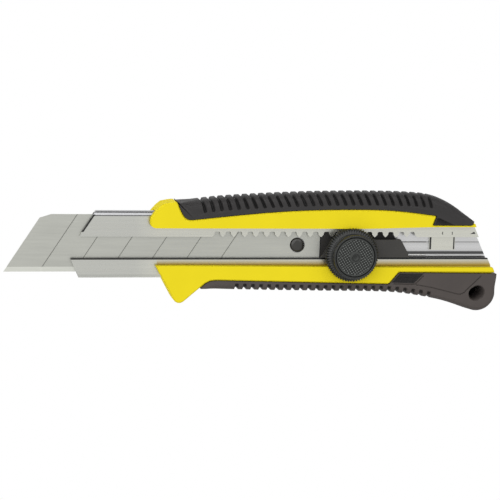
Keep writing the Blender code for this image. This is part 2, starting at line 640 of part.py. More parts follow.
def lock_dial():
    """A flange with a knurled rim, a waisted neck and a round head, on a hub that reaches down."""
    z = FLANGE_Z
    thick = DIAL_FLANGE_THICKNESS
    rim = DIAL_FLANGE_RADIUS - 0.6
    face = z + DIAL_HEIGHT
    floor = face - CAP_THICKNESS - 0.6
    bore = THREAD_RADIUS + GAP
    pocket = INSERT_RADIUS + FINE_GAP
    neck = HUB_RADIUS - 0.4
    loop = [(bore, HUB_Z), (HUB_RADIUS, HUB_Z), (HUB_RADIUS, RING_Z - 0.1), (neck, RING_Z - 0.1),
            (neck, RING_Z + RING_THICKNESS + 0.1), (HUB_RADIUS, RING_Z + RING_THICKNESS + 0.1),
            (HUB_RADIUS, z),
            (rim, z), (rim, z + thick), (DIAL_FACE_RADIUS + 0.6, z + thick + 0.3),
            (DIAL_FACE_RADIUS - 1.1, z + thick + 1.6), (DIAL_FACE_RADIUS, z + thick + 2.2),
            (DIAL_FACE_RADIUS, face - 0.5), (DIAL_FACE_RADIUS - 0.5, face), (CAP_RADIUS + GAP, face),
            (CAP_RADIUS + GAP, floor), (pocket, floor), (pocket, z + 0.9), (bore, z + 0.9)]
    made = turned("lock_dial", DIAL_AXIS, loop, DIAL_PLASTIC, steps=36, anchor=DIAL_ANCHOR, bored=True)
    ridged = [point for ridge in range(RIDGE_COUNT) for point in (
        arc(DIAL_AXIS, DIAL_FLANGE_RADIUS, 360 * ridge / RIDGE_COUNT, 0, 1)[:1]
        + arc(DIAL_AXIS, DIAL_FLANGE_RADIUS - RIDGE_HEIGHT, 360 * (ridge + 0.5) / RIDGE_COUNT, 0, 1)[:1])]
    inner = circle(DIAL_AXIS, rim - 0.8, 2 * RIDGE_COUNT)
    rings = [[(x, y, height) for x, y in ring] for ring, height in (
        (inner, z + 0.2), (ridged, z + 0.2), (ridged, z + thick - 0.2), (inner, z + thick - 0.2))]
    combine(made, make_object("dial_knurl", rings, ZINC, closed_tube=True), "UNION")


def dial_nut():
    low = FLANGE_Z + 0.9 + GAP
    high = low + INSERT_HEIGHT - 1.2
    washer("dial_nut", DIAL_AXIS, THREAD_RADIUS + FINE_GAP, INSERT_RADIUS, low, high, BRASS,
           anchor=DIAL_ANCHOR)


def dial_cap():
    face = FLANGE_Z + DIAL_HEIGHT
    low = face - CAP_THICKNESS - GAP
    top = low + CAP_THICKNESS
    profile = [(CAP_RADIUS, low), (CAP_RADIUS, top), (2.0, top), (1.8, top + 0.25),
               (1.0, top + 0.25), (0.8, top)]
    turned("dial_cap", DIAL_AXIS, profile, DIAL_PLASTIC, steps=36, anchor=DIAL_ANCHOR)


def main():
    for old in list(bpy.data.objects):
        bpy.data.objects.remove(old)
    for make in (handle_frame, upper_grip, lower_grip, blade_sleeve, sleeve_screws, blade, carrier_plate,
                 blade_stud, slider_block, lock_bolt, lock_plate, thrust_washer, retaining_ring, lock_dial,
                 dial_nut, dial_cap):
        make()


main()
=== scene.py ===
"""The looks of a heavy-duty snap-off utility knife: fine meshes, materials, light and camera.

Lengths are written in millimetres and turned into metres where a mesh or a light is made.
"""

import json
import math

import bmesh
import bpy
import numpy as np
from mathutils import Matrix, Vector


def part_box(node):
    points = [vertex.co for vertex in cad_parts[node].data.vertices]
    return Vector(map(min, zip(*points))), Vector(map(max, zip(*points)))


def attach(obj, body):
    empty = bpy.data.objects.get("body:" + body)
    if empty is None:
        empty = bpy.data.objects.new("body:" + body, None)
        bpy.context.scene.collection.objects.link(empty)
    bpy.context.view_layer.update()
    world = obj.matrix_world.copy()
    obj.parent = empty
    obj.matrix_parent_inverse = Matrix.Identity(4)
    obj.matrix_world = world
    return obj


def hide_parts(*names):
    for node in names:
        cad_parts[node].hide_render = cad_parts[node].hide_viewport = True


MM = 0.001

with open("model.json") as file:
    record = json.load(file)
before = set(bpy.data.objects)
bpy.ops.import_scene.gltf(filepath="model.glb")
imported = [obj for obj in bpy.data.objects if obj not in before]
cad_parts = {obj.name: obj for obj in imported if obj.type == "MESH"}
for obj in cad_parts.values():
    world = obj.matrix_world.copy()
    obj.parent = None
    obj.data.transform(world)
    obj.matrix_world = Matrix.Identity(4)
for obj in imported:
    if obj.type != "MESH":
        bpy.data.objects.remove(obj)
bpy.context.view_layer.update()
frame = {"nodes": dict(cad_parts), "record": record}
joints = {joint["name"]: joint for joint in frame["record"]["behaviour"]["joints"]}


def edges(node):
    """A CAD node's lowest and highest corners in millimetres."""
    low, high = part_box(node)
    return [value / MM for value in low], [value / MM for value in high]


SLEEVE_LOW, SLEEVE_HIGH = edges("blade_sleeve")
TOP_Y, BOTTOM_Y = SLEEVE_HIGH[1], SLEEVE_LOW[1]
DIAL_LOW, DIAL_HIGH = edges("lock_dial")
DIAL_X, DIAL_Y, FLANGE_Z = [value / MM for value in joints["dial_turn"]["pos_m"]]
BLADE_TIP_X, BLADE_EDGE_Y = edges("blade")[0][:2]
THICKNESS = edges("handle_frame")[1][2]


# ---- Outlines ----

def arc(centre, radius, start, end, steps):
    """Points on a circle, from one angle to another in degrees."""
    angles = [math.radians(start + (end - start) * step / steps) for step in range(steps + 1)]
    return [(centre[0] + radius * math.cos(a), centre[1] + radius * math.sin(a)) for a in angles]


def circle(centre, radius, steps=48):
    """Points all the way round a circle, the first one not repeated."""
    return arc(centre, radius, 0, 360, steps)[:-1]


def smooth(points, steps):
    """A Catmull-Rom curve through the points."""
    ends = [points[0], *points, points[-1]]
    curve = []
    for a, b, c, d in zip(ends, ends[1:], ends[2:], ends[3:]):
        for step in range(steps):
            t = step / steps
            curve.append(tuple(
                0.5 * (2 * q + (r - p) * t + (2 * p - 5 * q + 4 * r - s) * t * t
                       + (3 * q - p - 3 * r + s) * t ** 3)
                for p, q, r, s in zip(a, b, c, d)
            ))
    return [*curve, points[-1]]


def offset(points, distance, closed=False):
    """The polyline moved to its left by the distance, with mitred corners."""
    moved = []
    last = len(points) - 1
    for index, point in enumerate(points):
        before = points[index - 1] if index or closed else None
        after = points[(index + 1) % len(points)] if index < last or closed else None
        sides = []
        for a, b in ((before, point), (point, after)):
            if a is not None and b is not None:
                length = math.dist(a, b)
                sides.append(Vector(((a[1] - b[1]) / length, (b[0] - a[0]) / length)))
        mean = sum(sides, Vector((0, 0))).normalized()
        move = mean * distance / max(mean.dot(sides[0]), 0.4)
        moved.append((point[0] + move.x, point[1] + move.y))
    return moved


def spaced(line, step):
    """The polyline resampled evenly, about this far apart."""
    lengths = np.cumsum([0] + [math.dist(a, b) for a, b in zip(line, line[1:])])
    at = np.linspace(0, lengths[-1], max(2, round(lengths[-1] / step) + 1))
    xs, ys = zip(*line)
    return list(zip(np.interp(at, lengths, xs), np.interp(at, lengths, ys)))


def above(points):
    """Points whose Y is given from the sleeve's top edge up."""
    return [(x, TOP_Y + y) for x, y in points]


def below(points):
    """Points whose Y is given from the sleeve's bottom edge down."""
    return [(x, BOTTOM_Y - y) for x, y in points]


# ---- Meshes ----

def mesh_object(name, verts, faces, sharp=32, hollow=None):
    """A mesh from millimetre points, smooth between its sharp edges.

    Hollow says for each point how deep in a groove it lies, from 0 to 1, and its material paints shade from
    this.
    """
    mesh = bpy.data.meshes.new(name)
    mesh.from_pydata([[value * MM for value in vert] for vert in verts], [], faces)
    depths = mesh.attributes.new("hollow", "FLOAT", "POINT")
    depths.data.foreach_set("value", hollow or [0.0] * len(verts))
    tidy = bmesh.new()
    tidy.from_mesh(mesh)
    bmesh.ops.remove_doubles(tidy, verts=tidy.verts, dist=0.002 * MM)
    bmesh.ops.recalc_face_normals(tidy, faces=tidy.faces)
    if tidy.calc_volume(signed=True) < 0:
        bmesh.ops.reverse_faces(tidy, faces=tidy.faces)
    tidy.to_mesh(mesh)
    tidy.free()
    mesh.shade_smooth()
    mesh.set_sharp_from_angle(angle=math.radians(sharp))
    made = bpy.data.objects.new(name, mesh)
    bpy.context.scene.collection.objects.link(made)
    return made


def stacked(name, rings, closed_tube=False, sharp=32, hollow=None):
    """A solid from equal rings of points, capped at both ends unless they close on themselves."""
    count = len(rings[0])
    verts = [point for ring in rings for point in ring]
    faces = []
    levels = len(rings)
    for level in range(levels if closed_tube else levels - 1):
        low, high = level * count, (level + 1) % levels * count
        for i in range(count):
            j = (i + 1) % count
            faces.append((low + i, low + j, high + j, high + i))
    if not closed_tube:
        faces.append(tuple(range(count))[::-1])
        faces.append(tuple(range((levels - 1) * count, levels * count)))
    return mesh_object(name, verts, faces, sharp, hollow)


def prism(name, outline, low_z, high_z):
    """An outline raised straight from one height to another."""
    return stacked(name, [[(x, y, z) for x, y in outline] for z in (low_z, high_z)])


def cut(made, cutter):
    """Cuts the cutter out of the mesh for good, and removes it."""
    step = made.modifiers.new("cut", "BOOLEAN")
    step.operation = "DIFFERENCE"
    step.solver = "MANIFOLD"
    step.object = cutter
    bpy.context.view_layer.update()
    mesh = bpy.data.meshes.new_from_object(made.evaluated_get(bpy.context.evaluated_depsgraph_get()))
    made.modifiers.clear()
    made.data = mesh
    bpy.data.objects.remove(cutter)
    mesh.shade_smooth()
    mesh.set_sharp_from_angle(angle=math.radians(32))


def channel_cutter(name, line, width, low_z, high_z):
    """A cutter for a groove of this width along an open line."""
    outline = offset(line, width / 2) + offset(line, -width / 2)[::-1]
    return prism(name, outline, low_z, high_z)


# ---- Materials ----

class Nodes:
    """A small helper that adds and links shader nodes."""

    def __init__(self, name):
        self.material = bpy.data.materials.new(name)
        self.material.use_nodes = True
        self.tree = self.material.node_tree
        self.shader = self.tree.nodes["Principled BSDF"]
        self.place = self.add("ShaderNodeTexCoord").outputs["Object"]

    def add(self, kind, **settings):
        node = self.tree.nodes.new(kind)
        for key, value in settings.items():
            setattr(node, key, value)
        return node

    def link(self, source, target):
        self.tree.links.new(source, target)

    def stretched(self, scale):
        """Object coordinates scaled along each axis, per metre."""
        node = self.add("ShaderNodeVectorMath", operation="MULTIPLY")
        node.inputs[1].default_value = scale
        self.link(self.place, node.inputs[0])
        return node.outputs[0]

    def noise(self, scale, detail=4, roughness=0.6):
        """Noise with about this many waves in a metre along each axis."""
        node = self.add("ShaderNodeTexNoise")
        node.inputs["Scale"].default_value = 1
        node.inputs["Detail"].default_value = detail
        node.inputs["Roughness"].default_value = roughness
        self.link(self.stretched(scale), node.inputs["Vector"])
        return node.outputs["Fac"]

    def ramp(self, value, stops):
        """A colour ramp over (position, colour) stops."""
        node = self.add("ShaderNodeValToRGB")
        ramp = node.color_ramp
        while len(ramp.elements) < len(stops):
            ramp.elements.new(1)
        for element, (position, colour) in zip(ramp.elements, stops):
            element.position = position
            element.color = (*colour, 1)
        self.link(value, node.inputs["Fac"])
        return node.outputs["Color"]

    def spread(self, value, low, high, start=0.0, end=1.0):
        """The value mapped to a range."""
        node = self.add("ShaderNodeMapRange")
        for key, number in (("From Min", start), ("From Max", end), ("To Min", low), ("To Max", high)):
            node.inputs[key].default_value = number
        self.link(value, node.inputs["Value"])
        return node.outputs["Result"]

    def darkened(self, colour, painted_shade):
        """The colour with painted shade, darker where the mesh says it lies in a groove."""
        if not painted_shade:
            return colour
        depth = self.add("ShaderNodeAttribute", attribute_name="hollow").outputs["Fac"]
        return self.scaled(colour, self.spread(depth, 1.0, 1.0 - painted_shade, 0.1, 0.9))

    def scaled(self, colour, factor):
        """The colour times a value."""
        node = self.add("ShaderNodeVectorMath", operation="SCALE")
        self.link(colour, node.inputs[0])
        self.link(factor, node.inputs["Scale"])
        return node.outputs[0]

    def axes(self):
        """The object's X, Y and Z as three values, in metres."""
        node = self.add("ShaderNodeSeparateXYZ")
        self.link(self.place, node.inputs[0])
        return node.outputs

    def maths(self, operation, first, second):
        """A maths node on two values, each a socket or a number."""
        node = self.add("ShaderNodeMath", operation=operation)
        for socket, value in zip(node.inputs, (first, second)):
            if isinstance(value, (int, float)):
                socket.default_value = value
            else:
                self.link(value, socket)
        return node.outputs[0]

    def bump(self, height, strength, distance):
        node = self.add("ShaderNodeBump")
        node.inputs["Strength"].default_value = strength
        node.inputs["Distance"].default_value = distance
        self.link(height, node.inputs["Height"])
        self.link(node.outputs["Normal"], self.shader.inputs["Normal"])

    def set(self, **values):
        """Sets the shader's own numbers, with an underscore for each space in a socket's name."""
        for key, value in values.items():
            self.shader.inputs[key.replace("_", " ")].default_value = value


DRAWN_LINES = (14, 1500, 1500)  # how often the noise repeats in a metre, along each axis
LINE_DEPTH = 0.00005
FINE_SKIN = (2600, 2600, 2600)
SKIN_DEPTH = 0.0002
SEGMENT_PITCH = 15.1
SCORE_ANGLE = 57
GROUND_WIDTH = 2.1  # of the strip ground along the cutting edge
BLADE_COLOUR = (0.47, 0.475, 0.435)
# The sheet's yellowish tint is partly the steel's own tone and partly a painted reflection of the yellow
# handle.
SHEET_COLOUR = (0.60, 0.60, 0.54)
BACK_Z = 5.95  # the sleeve's back wall lies below this, and its lips above LIP_Z
LIP_Z = 8.2
GUARD_X = -41.3  # where the finger guard starts and its yellow is painted into the lower lip as a reflection
LIP_FRONT = (-74.4, 4.6)  # a point on the upper lip's slanted front edge
LIP_FRONT_NORMAL = (0.835, -0.549)
BACK_REFLECTIONS = (  # painted reflections and shade: grey levels up the polished back wall, between the two heights below
    (0.0, 0.30), (0.10, 0.10), (0.14, 0.10), (0.17, 0.75), (0.21, 0.75), (0.25, 0.06), (0.33, 0.10),
    (0.36, 0.55), (0.52, 0.62), (0.67, 0.55), (0.685, 0.22), (0.70, 0.24), (0.715, 0.60), (1.0, 0.62),
)
REFLECTIONS_LOW_Y, REFLECTIONS_HIGH_Y = -8, 4


def tint(colour, factor):
    """A lighter or darker colour."""
    return tuple(min(1, value * factor) for value in colour)


def moulded_plastic(name, colour, roughness, grain=0.05, variation=0.06, gloss_level=0.5, painted_shade=0.0):
    """Moulded plastic or rubber: slight colour drift, uneven gloss, a fine skin and painted shade in its
    grooves.
    """
    made = Nodes(name)
    drift = made.noise((60, 60, 60), 3)
    colours = [(0.3, tint(colour, 1 - variation)), (0.7, tint(colour, 1 + variation))]
    made.link(made.darkened(made.ramp(drift, colours), painted_shade), made.shader.inputs["Base Color"])
    gloss = made.noise((350, 350, 350), 4)
    gloss = made.spread(gloss, roughness - 0.06, roughness + 0.08, 0.3, 0.7)
    made.link(gloss, made.shader.inputs["Roughness"])
    made.bump(made.noise(FINE_SKIN, 3), grain, SKIN_DEPTH)
    made.set(Specular_IOR_Level=gloss_level)
    return made.material


def brushed_metal(name, colour, roughness):
    """Metal with drawn lines: noise stretched along one axis sets its colour, gloss and relief."""
    made = Nodes(name)
    streaks = made.noise(DRAWN_LINES, 5, 0.7)
    cloud = made.noise((25, 60, 60), 3)
    mixed = made.maths("ADD", made.maths("MULTIPLY", streaks, 0.7), made.maths("MULTIPLY", cloud, 0.3))
    colours = [(0.35, tint(colour, 0.9)), (0.65, tint(colour, 1.08))]
    made.link(made.ramp(mixed, colours), made.shader.inputs["Base Color"])
    gloss = made.spread(streaks, roughness - 0.07, roughness + 0.1, 0.3, 0.7)
    made.link(gloss, made.shader.inputs["Roughness"])
    made.bump(streaks, 0.08, LINE_DEPTH)
    made.set(Metallic=0.92)
    return made.material


def blade_look():
    """Blade steel, with painted shade along the score lines and brighter on the ground strip by the cutting
    edge.
    """
    made = Nodes("blade_steel")
    streaks = made.noise((40, 900, 900), 5, 0.7)
    cloud = made.noise((18, 30, 30), 3)
    mixed = made.maths("ADD", made.maths("MULTIPLY", streaks, 0.5), made.maths("MULTIPLY", cloud, 0.5))
    colour = made.ramp(mixed, [(0.35, tint(BLADE_COLOUR, 0.93)), (0.65, tint(BLADE_COLOUR, 1.06))])
    x, y, _ = made.axes()
    up = made.maths("SUBTRACT", y, BLADE_EDGE_Y * MM)
    along = made.maths("SUBTRACT", x, BLADE_TIP_X * MM)
    slid = made.maths("SUBTRACT", along, made.maths("MULTIPLY", up, 1 / math.tan(math.radians(SCORE_ANGLE))))
    segment = made.maths("DIVIDE", slid, SEGMENT_PITCH * MM)
    away = made.maths("ABSOLUTE", made.maths("SUBTRACT", segment, made.maths("ROUND", segment, 0)), 0)
    # Painted shade along the score lines.
    line = made.spread(made.maths("MULTIPLY", away, SEGMENT_PITCH), 1, 0, 0.08, 0.22)
    scored = made.maths("COMPARE", segment, 3.5)  # from 0.5 to 6.5, where there are six score lines
    scored.node.inputs[2].default_value = 3.0
    ground = made.spread(up, 1, 0, GROUND_WIDTH * MM, (GROUND_WIDTH + 0.1) * MM)
    score = made.maths("MULTIPLY", made.maths("MULTIPLY", line, scored), made.spread(ground, 1, 0))
    shade = made.maths("MULTIPLY", made.spread(score, 1, 0.2), made.spread(ground, 1, 1.5))
    made.link(made.scaled(colour, shade), made.shader.inputs["Base Color"])
    made.link(made.spread(streaks, 0.30, 0.44, 0.3, 0.7), made.shader.inputs["Roughness"])
    made.bump(streaks, 0.05, LINE_DEPTH)
    made.set(Metallic=0.9)
    return made.material


def sleeve_look():
    """Drawn stainless sheet, with painted shade on the lips' front and the rolled top, painted shadows at the
    lip edges, a painted reflection of the yellow guard and painted reflections on the polished back wall.
    """
    made = Nodes("stainless_sheet")
    streaks = made.noise(DRAWN_LINES, 5, 0.7)
    cloud = made.noise((25, 60, 60), 3)
    mixed = made.maths("ADD", made.maths("MULTIPLY", streaks, 0.6), made.maths("MULTIPLY", cloud, 0.4))
    sheet = made.ramp(mixed, [(0.35, tint(SHEET_COLOUR, 0.94)), (0.65, tint(SHEET_COLOUR, 1.05))])
    x, y, z = made.axes()

    def over(value, limit, width=0.05):
        """1 past the limit and 0 before it, in millimetres."""
        return made.spread(value, 0, 1, (limit - width) * MM, (limit + width) * MM)

    def all_of(first, *rest):
        """1 where all of the masks are 1."""
        for value in rest:
            first = made.maths("MULTIPLY", first, value)
        return first

    def between(value, low, high):
        """1 from the low limit to the high one, in millimetres."""
        return made.maths("SUBTRACT", over(value, low), over(value, high))

    def mixed_in(first, second, mask):
        """The first colour with the second, a socket or three numbers, over it where the mask is 1."""
        node = made.add("ShaderNodeMix", data_type="RGBA")
        made.link(mask, node.inputs["Factor"])
        made.link(first, node.inputs[6])
        if isinstance(second, tuple):
            node.inputs[7].default_value = (*second, 1)
        else:
            made.link(second, node.inputs[7])
        return node.outputs[2]

    lip = over(z, LIP_Z)
    shadow_black = (0.03, 0.03, 0.03)
    # Painted reflections and shade on the polished back wall, below BACK_Z.
    height = made.spread(y, 0, 1, REFLECTIONS_LOW_Y * MM, REFLECTIONS_HIGH_Y * MM)
    painted_reflections = made.ramp(height, [(at, (level, level, level)) for at, level in BACK_REFLECTIONS])
    colour = mixed_in(sheet, painted_reflections, made.maths("SUBTRACT", 1, over(z, BACK_Z)))

    # The front of the lips and the rolled top are painted darker as shade, with a painted shadow line under
    # the roll.
    far_front = made.maths("SUBTRACT", 0.8, made.maths("MULTIPLY", over(x, -46, 5), 0.8))
    colour = mixed_in(colour, (0.49, 0.495, 0.465), all_of(far_front, lip))
    colour = mixed_in(colour, (0.42, 0.42, 0.43), all_of(over(y, TOP_Y - 1.9), over(z, 6.4)))
    colour = mixed_in(colour, (0.10, 0.10, 0.10), all_of(between(y, TOP_Y - 2.2, TOP_Y - 1.85), lip))

    # The lower lip carries a painted reflection of the yellow guard and a painted shadow along its edge.
    guard_reflection = made.spread(y, 1, 0, (BOTTOM_Y + 5.7) * MM, (BOTTOM_Y + 8.2) * MM)
    guard_reflection = all_of(guard_reflection, over(x, GUARD_X), over(y, BOTTOM_Y + 5.0), lip)
    colour = mixed_in(colour, (0.42, 0.30, 0.06), guard_reflection)
    colour = mixed_in(colour, shadow_black, all_of(between(y, -7.05, -6.2), lip))

    # The upper lip's slanted front edge carries a painted shadow.
    parts = [made.maths("MULTIPLY", value, share) for value, share in zip((x, y), LIP_FRONT_NORMAL)]
    start = sum(value * share for value, share in zip(LIP_FRONT, LIP_FRONT_NORMAL))
    past_front = made.maths("SUBTRACT", made.maths("ADD", *parts), start * MM)
    front = between(past_front, -0.2, 0.65)
    colour = mixed_in(colour, shadow_black, all_of(front, between(y, 5.0, TOP_Y - 1.6), lip))
    made.link(colour, made.shader.inputs["Base Color"])
    made.link(made.spread(streaks, 0.22, 0.36, 0.3, 0.7), made.shader.inputs["Roughness"])
    made.bump(streaks, 0.06, LINE_DEPTH)
    made.set(Metallic=0.92)
    return made.material


def slider_look():
    """Satin plastic whose flange, deep under the lips, lies in shade."""
    made = Nodes("slider_plastic")
    x, _, z = made.axes()
    drift = made.noise((60, 60, 60), 3)
    colour = made.ramp(drift, [(0.3, (0.047, 0.045, 0.042)), (0.7, (0.053, 0.051, 0.048))])
    deep = made.spread(z, 1, 0, 8.5 * MM, 8.9 * MM)
    shade = made.maths("MULTIPLY", deep, made.spread(x, 0.5, 0.9, 34 * MM, 42 * MM))
    made.link(made.scaled(colour, made.maths("SUBTRACT", 1, shade)), made.shader.inputs["Base Color"])
    made.bump(made.noise(FINE_SKIN, 3), 0.05, SKIN_DEPTH)
    made.set(Roughness=0.5, Specular_IOR_Level=0.2)
    return made.material


YELLOW = moulded_plastic("yellow_plastic", (0.81, 0.665, 0.017), 0.6, 0.04, 0.02, gloss_level=0.03)
# The rubbers paint shade into their grooves from each mesh's hollow values.
BLACK = moulded_plastic("black_rubber", (0.033, 0.031, 0.031), 0.55, 0.12, 0.10, gloss_level=0.25, painted_shade=0.9)
GREY = moulded_plastic("grey_rubber", (0.075, 0.064, 0.059), 0.60, 0.12, 0.08, gloss_level=0.25, painted_shade=0.75)
DARK = moulded_plastic("dark_plastic", (0.050, 0.048, 0.045), 0.5, 0.06, 0.06, gloss_level=0.3)
# The light face colour is a painted highlight on the waffle's tips; the cap's shade values darken it to the
# face's own dark tone on the margin, and further in the pits and the dimple as painted shade.
FACE = moulded_plastic("dial_face_plastic", (0.18, 0.19, 0.18), 0.35, 0.03, 0.06, gloss_level=0.2, painted_shade=0.87)
DIAL = moulded_plastic("dial_plastic", (0.019, 0.020, 0.019), 0.32, 0.04, 0.08, gloss_level=0.4, painted_shade=0.8)
STAINLESS = sleeve_look()
SLIDER = slider_look()
BLADE = blade_look()
STUD = moulded_plastic("stud_plastic", (0.022, 0.021, 0.018), 0.2, 0.03, 0.06)
ZINC = brushed_metal("zinc_steel", (0.50, 0.50, 0.51), 0.32)
# Dark metal for the strips of painted shadow on the sleeve.
PAINTED_SHADOW = brushed_metal("slot_shadow", (0.05, 0.05, 0.05), 0.5)
BRASS = brushed_metal("brass", (0.70, 0.52, 0.22), 0.28)


def paint(piece, material):
    """Gives the piece this material and no other."""
    piece.data.materials.clear()
    piece.data.materials.append(material)


# ---- Handle ----

RIB_PITCH = 3.62
ROUNDING_RUN = 7  # over which a grip's rounding grows from nothing at its ends
GRIP_WALL = 2.4
FRONT_RUBBER = 2.1  # over the frame's cores
CORE_BACK_Z = 2.2
GAP = 0.3
STRIP_BELOW_TOP = 5.6  # where the frame shows as a thin strip under the upper grip's end
UPPER_CORE_END_X = 97.5
LOWER_CORE_END_X = 95
HOLE = (103.0, BOTTOM_Y - 6.6)
HOLE_RADIUS = 2.9
HOLE_STRETCH = 0.65  # half the distance between the hole's two round ends
HOLE_TILT = 30
HOLE_TO_CORE = 4.9


def top_line():
    """The upper grip's back, from the nose to its rear end."""
    return above(smooth([(-33.0, 3.8), (-24, 5.1), (-10, 6.6), (20, 8.3), (48, 8.9), (70, 8.6), (82, 7.2),
                         (91, 3.2), (100.4, -3.7)], 10))


def upper_boundary():
    """Where the upper grip meets the yellow frame."""
    front = smooth([(-33.4, 4.4), (-31.6, 0), (-29.4, -3.0), (-26.6, -3.5)], 6)
    middle = smooth([(-26.6, -3.5), (5, -0.3), (30, 1.1), (60, 1.1), (82.8, -1.3)], 10)
    return above(front[:-1] + middle + [(81.2, -STRIP_BELOW_TOP), (99.6, -STRIP_BELOW_TOP)])


def bottom_line():
    """The lower grip's underside, from the finger guard round the rear lobe."""
    ribs = smooth([(-22.3, 4.2), (0, 4.9), (30, 5.5), (56, 5.9), (70, 6.9), (86, 9.7), (98, 13.5)], 10)
    lobe = arc((103.6, 6.4), 8.4, 112, 8, 20)
    return below(ribs + lobe[1:] + [(111.9, -2.0)])


def lower_boundary():
    """Where the lower grip meets the yellow frame."""
    return below([(-22.6, 3.7), (-20.4, 1.8), (-18.2, 0.7), (-15.8, 0.4), (20, 1.3), (62.2, 2.3),
                  (66.6, -3.0), (111.9, -2.4)])


def upper_core():
    """The frame's core inside the upper grip."""
    line = [(x, y) for x, y in offset(top_line(), -GRIP_WALL) if x < UPPER_CORE_END_X]
    bottom = 0.5 - STRIP_BELOW_TOP
    return above([(-38, bottom), (UPPER_CORE_END_X, bottom)]) + line[::-1]


def lower_core():
    """The frame's core inside the lower grip, which stops above the lanyard hole."""
    line = [(x, y) for x, y in offset(bottom_line(), GRIP_WALL) if x < LOWER_CORE_END_X and y < BOTTOM_Y]
    shelf_y = HOLE[1] + HOLE_TO_CORE
    rear_x = SLEEVE_HIGH[0] + GAP
    top_y = BOTTOM_Y + 3.5
    return line + [(LOWER_CORE_END_X + 0.5, shelf_y), (rear_x, shelf_y), (rear_x, top_y), (line[0][0], top_y)]


def ease(value):
    """0 up to 0, 1 from 1 on, and a soft step between."""
    value = min(1, max(0, value))
    return value * value * (3 - 2 * value)


def groove_at(x, first_x, count, half_width, slope):
    """How deep the groove pattern is here, from 0 on a rib to 1 in a groove."""
    turn = (x - first_x) / RIB_PITCH
    nearest = min(max(round(turn), 0), count - 1)
    return ease((half_width + slope - abs(turn - nearest) * RIB_PITCH) / slope)


def grip(name, outer, inner, radius, groove, depth, slot_end, lean):
    """A rubber shell, rounded along its outer line, with grooves that wrap from the rim on to both faces.

    Each level of the shell is the inset from the outer line, the drop from the face, how much of the groove's
    depth it has, and the angle at which the surface faces there. The grooves fade out slot_end past the
    rounding, and lean says how far they slant on the face.
    """
    outer = spaced(outer, 0.3)
    points = outer + spaced(inner, 1.0)
    ends = (outer[0], outer[-1])
    moved_in = offset(points, 1.0, closed=True)
    half = THICKNESS / 2
    levels = [(radius + shift, 0.0, share, 90) for shift, share in
              ((slot_end + 0.6, 0), (slot_end + 0.4, 0.25), (slot_end + 0.15, 0.8), (slot_end * 0.5, 1))]
    for turn in range(90, -1, -9):
        angle = math.radians(turn)
        levels.append((radius * (1 - math.cos(angle)), radius * (1 - math.sin(angle)), 1, turn))
    hollow = []

    def ring(level, side):
        """One level's points, on the front face where side is 1 and on the back face where it is -1."""
        inset, drop, share, turn = level
        cut_in, cut_down = math.cos(math.radians(turn)), math.sin(math.radians(turn))
        made = []
        for index, ((x, y), (inner_x, inner_y)) in enumerate(zip(points, moved_in)):
            outside = index < len(outer)
            weight = ease(min(math.dist((x, y), end) for end in ends) / ROUNDING_RUN) if outside else 0
            dent = weight * groove(x) * depth * share if outside else 0
            move = weight * inset + dent * cut_in
            made.append((
                x + (inner_x - x) * move + weight * inset * lean(x),
                y + (inner_y - y) * move,
                half + side * (half - weight * drop - dent * cut_down),
            ))
            # How deep in its groove the point lies; the rubber's material paints shade from this.
            hollow.append(dent / depth)
        return made

    rings = [ring(level, -1) for level in levels] + [ring(level, 1) for level in levels[::-1]]
    return stacked(name, rings, sharp=50, hollow=hollow)


def upper_grip():
    """The ribbed rubber along the handle's back."""
    made = grip("grip_upper_ribbed", top_line()[::-1], offset(upper_boundary(), GAP), radius=3.8,
                groove=lambda x: groove_at(x, first_x=-22.4, count=29, half_width=0.2, slope=0.7),
                depth=1.0, slot_end=1.3, lean=lambda x: 0.14 + 0.26 * ease((x + 22) / 30))
    cut(made, prism("hollow", offset(upper_core(), -GAP, closed=True), CORE_BACK_Z - GAP,
                    THICKNESS - FRONT_RUBBER + GAP))
    paint(made, BLACK)
    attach(made, "handle")
    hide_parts("upper_grip")


def hole_outline(extra):
    """The slanted lanyard hole, made wider by the extra."""
    along = HOLE_STRETCH * math.cos(math.radians(HOLE_TILT))
    up = HOLE_STRETCH * math.sin(math.radians(HOLE_TILT))
    x, y = HOLE
    radius = HOLE_RADIUS + extra
    right = arc((x + along, y + up), radius, HOLE_TILT - 90, HOLE_TILT + 90, 20)
    left = arc((x - along, y - up), radius, HOLE_TILT + 90, HOLE_TILT + 270, 20)
    return right + left


def lower_grip():
    """The ribbed rubber under the hand, with a curved line, a pad's edge and the flared lanyard hole."""
    made = grip("grip_lower_ribbed", bottom_line(), offset(lower_boundary(), -GAP)[::-1], radius=2.2,
                groove=lambda x: groove_at(x, first_x=-6.4, count=25, half_width=0.35, slope=0.6),
                depth=1.1, slot_end=0.2, lean=lambda x: 0)
    swoosh = smooth(below([(74.6, 2.7), (82.1, 4.0), (92.6, 6.6), (94.8, 7.0), (96.6, 6.6), (98.4, 4.9),
                           (104.8, -1.3)]), 5)
    cut(made, channel_cutter("swoosh", swoosh, 0.5, THICKNESS - 0.45, THICKNESS + 1))
    edge = spaced(below([(64.3, 2.25), (73.6, 2.5), (74.4, 2.3), (78.0, -1.4)]), 0.9)
    cut(made, channel_cutter("pad_edge", edge, 0.45, THICKNESS - 0.5, THICKNESS + 1))
    cut(made, prism("hollow", offset(lower_core(), -GAP, closed=True), CORE_BACK_Z - GAP,
                    THICKNESS - FRONT_RUBBER + GAP))
    flare = [(0.5, -0.2), (0.45, 0.0), (0.15, 0.3), (0, 0.7)]
    flare += [(extra, THICKNESS - z) for extra, z in flare[::-1]]
    cut(made, stacked("hole", [[(x, y, z) for x, y in hole_outline(extra)] for extra, z in flare]))
    paint(made, GREY)
    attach(made, "handle")
    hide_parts("lower_grip")


PAD_PITCH = 0.75
PAD_Z = THICKNESS + 0.02
PAD_PEAK = 0.22
PAD_SHADE = 0.7


